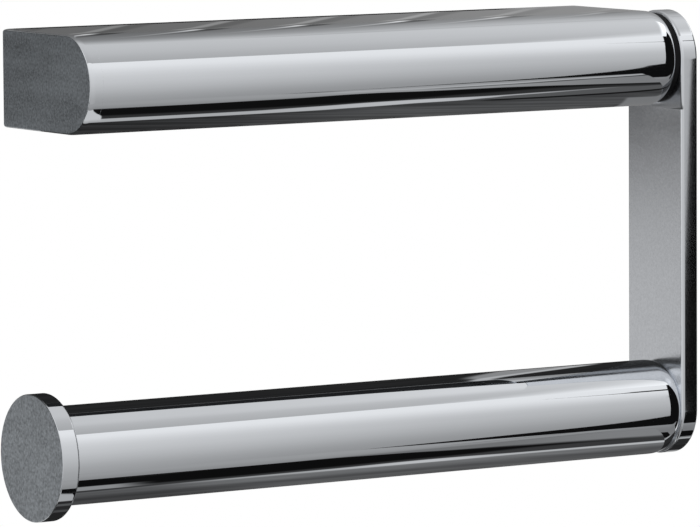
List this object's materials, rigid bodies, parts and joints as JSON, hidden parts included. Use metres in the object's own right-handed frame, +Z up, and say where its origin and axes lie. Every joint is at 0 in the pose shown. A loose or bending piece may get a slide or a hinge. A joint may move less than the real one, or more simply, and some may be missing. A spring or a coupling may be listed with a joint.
{
  "type": "toilet roll holder",
  "caption": "Wall-mounted toilet roll holder: a D-section wall bar, a flat side strip hinged at its end, and a round roll bar that ends in a larger disc.",
  "frame": {"origin": "on the wall plane, at the middle of the wall bar", "axes": "+X along both bars towards the side strip, +Y into the wall, +Z up"},
  "size_m": [0.1551, 0.0388, 0.0968],
  "materials": {
    "chrome": "mirror-bright polish",
    "satin_end": "satin face with a polished rim",
    "zinc_steel": "dull zinc plate",
    "cast_block": "machined",
    "nylon": "plain nylon",
    "screw_steel": "turned steel",
    "black_spacer": "matt black",
    "brass": "turned brass"
  },
  "bodies": {
    "wall_bar": {"wall_rail": "zinc_steel", "bar_shell": "chrome", "end_cap": "satin_end", "pivot_block": "cast_block", "outer_bush": "nylon", "inner_bush": "nylon", "lock_screws": "screw_steel", "block_screws": "screw_steel"},
    "swing_arm": {"side_strip": "chrome", "pivot_axle": "screw_steel", "axle_cover": "chrome", "stop_pin": "screw_steel", "spacer_washer": "black_spacer", "wave_washer": "screw_steel", "thrust_washer": "screw_steel", "lock_nut": "screw_steel", "nut_ring": "nylon", "roll_bar": "chrome", "strip_plug": "brass", "bar_screw": "screw_steel", "screw_cover": "chrome", "disc_plug": "brass", "end_disc": "satin_end"}
  },
  "joints": [
    {"name": "arm_swing", "type": "hinge", "parent": "wall_bar", "child": "swing_arm", "pos_m": [0.07175, -0.026, 0], "axis": [-1, 0, 0], "range_deg": [-8, 90]}
  ]
}
